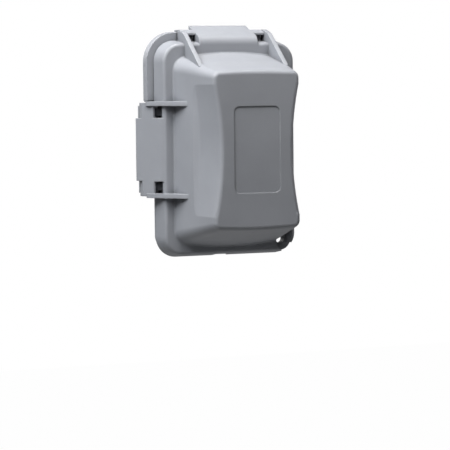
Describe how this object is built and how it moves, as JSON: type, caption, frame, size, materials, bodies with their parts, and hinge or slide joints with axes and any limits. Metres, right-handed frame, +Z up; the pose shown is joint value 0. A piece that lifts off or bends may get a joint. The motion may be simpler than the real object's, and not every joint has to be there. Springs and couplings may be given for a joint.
{
  "type": "electrical box cover",
  "caption": "Weatherproof cover for an outdoor outlet box: a deep hood on a top hinge over a gasketed base frame, with cord ports and a padlock tab.",
  "frame": {"origin": "middle of the box screw pattern on the plane where the cover meets the wall", "axes": "+Y into the wall, so the cover stands out towards -Y; +Z up, towards the hinge in use; +X to the right seen from the front"},
  "size_m": [0.1166, 0.0835, 0.1652],
  "materials": {
    "lid_plastic": "moulded, finely textured, light sheen",
    "base_plastic": "moulded, finely textured",
    "plate_plastic": "moulded, smooth",
    "screw_steel": "zinc plated",
    "pin_steel": "drawn wire",
    "gasket_foam": "closed-cell foam",
    "seal_foam": "closed-cell foam"
  },
  "bodies": {
    "base": {"base_frame": "base_plastic", "device_plate": "plate_plastic", "mounting_screws": "screw_steel", "hinge_pin": "pin_steel", "port_plugs": "base_plastic", "wall_gasket": "gasket_foam", "rim_seal": "seal_foam"},
    "lid": {"lid": "lid_plastic"}
  },
  "joints": [
    {"name": "lid_hinge", "type": "hinge", "parent": "base", "child": "lid", "pos_m": [0, -0.0115, 0.0797], "axis": [-1, 0, 0], "range_deg": [0, 112]}
  ]
}
